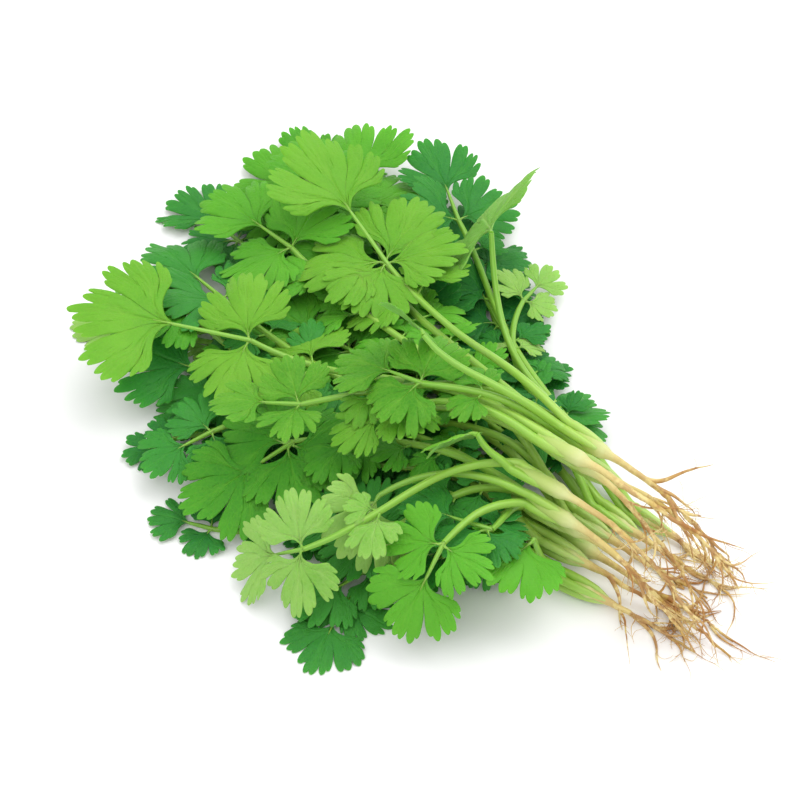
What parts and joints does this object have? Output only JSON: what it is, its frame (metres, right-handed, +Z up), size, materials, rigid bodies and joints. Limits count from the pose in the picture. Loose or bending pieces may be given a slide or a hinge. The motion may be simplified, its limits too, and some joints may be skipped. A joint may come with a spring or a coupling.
{
  "type": "coriander bunch",
  "caption": "Loose bunch of whole coriander plants lying on a flat surface, with lobed green leaves on slender stalks, pale crowns and thin brown roots.",
  "frame": {"origin": "on the surface the bunch lies on, under the centre of its bounding box", "axes": "+X along the bunch from the leaves to the roots, +Y across it, +Z up from the surface"},
  "size_m": [0.2718, 0.201, 0.0643],
  "materials": {
    "leaf_bright": "satin leaf, bright yellow green",
    "leaf_mid": "satin leaf, mid green",
    "leaf_deep": "satin leaf, deep green",
    "leaf_pale": "satin leaf, pale yellow green",
    "root": "matt root, cream crown to ochre brown"
  },
  "bodies": {
    "root": {"leaf_01": "leaf_deep", "leaf_02": "leaf_deep", "leaf_03": "leaf_deep", "leaf_04": "leaf_mid", "leaf_05": "leaf_deep", "leaf_06": "leaf_deep", "leaf_07": "leaf_deep", "leaf_08": "leaf_deep", "leaf_09": "leaf_deep", "leaf_10": "leaf_pale", "leaf_11": "leaf_deep", "leaf_12": "leaf_deep", "leaf_13": "leaf_deep", "leaf_14": "leaf_deep", "leaf_15": "leaf_deep", "leaf_16": "leaf_deep", "leaf_17": "leaf_deep", "leaf_18": "leaf_mid", "leaf_19": "leaf_mid", "leaf_20": "leaf_deep", "leaf_21": "leaf_deep", "leaf_22": "leaf_deep", "leaf_23": "leaf_deep", "leaf_24": "leaf_deep", "leaf_25": "leaf_mid", "leaf_26": "leaf_mid", "leaf_27": "leaf_mid", "leaf_28": "leaf_mid", "leaf_29": "leaf_deep", "leaf_30": "leaf_mid", "leaf_31": "leaf_mid", "leaf_32": "leaf_mid", "leaf_33": "leaf_pale", "leaf_34": "leaf_bright", "leaf_35": "leaf_bright", "leaf_36": "leaf_deep", "leaf_37": "leaf_pale", "leaf_38": "leaf_pale", "leaf_39": "leaf_pale", "leaf_40": "leaf_bright", "leaf_41": "leaf_bright", "leaf_42": "leaf_bright", "leaf_43": "leaf_bright", "leaf_44": "leaf_bright", "root_01": "root", "root_02": "root", "root_03": "root", "root_04": "root", "root_05": "root", "root_06": "root", "root_07": "root", "root_08": "root", "root_09": "root", "root_10": "root", "root_11": "root", "root_12": "root", "root_13": "root"}
  },
  "joints": []
}
